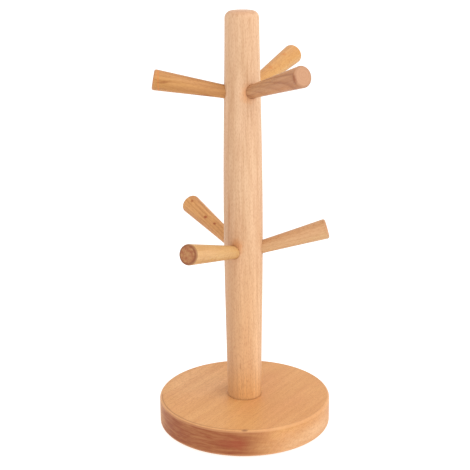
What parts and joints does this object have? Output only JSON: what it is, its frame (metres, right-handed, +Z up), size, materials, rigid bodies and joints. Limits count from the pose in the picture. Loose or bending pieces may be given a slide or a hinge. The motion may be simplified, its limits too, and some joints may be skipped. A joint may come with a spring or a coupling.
{
  "type": "mug tree",
  "caption": "Free-standing turned wooden mug tree: a round base, a gently barrel-shaped post and tiers of tapered arms that slant up to hold mugs by their handles.",
  "frame": {"origin": "on the surface that the pads stand on, under the post's axis, which is the middle of the base", "axes": "+Z up along the post; +X to the right and -Y towards the front, as seen with one lower arm pointing right and one upper arm pointing left"},
  "size_m": [0.1474, 0.1475, 0.354],
  "materials": {
    "base_wood": "satin lacquered beech, flat-sawn",
    "post_wood": "satin lacquered beech, turned",
    "arm_wood": "satin lacquered beech, turned",
    "zinc_steel": "bright zinc plate",
    "pad_rubber": "matt"
  },
  "bodies": {
    "root": {"base": "base_wood", "post": "post_wood", "upper_left_arm": "arm_wood", "upper_front_right_arm": "arm_wood", "upper_rear_right_arm": "arm_wood", "lower_right_arm": "arm_wood", "lower_rear_left_arm": "arm_wood", "lower_front_left_arm": "arm_wood", "post_screw": "zinc_steel", "screw_washer": "zinc_steel", "front_left_pad": "pad_rubber", "front_right_pad": "pad_rubber", "rear_left_pad": "pad_rubber", "rear_right_pad": "pad_rubber"}
  },
  "joints": []
}
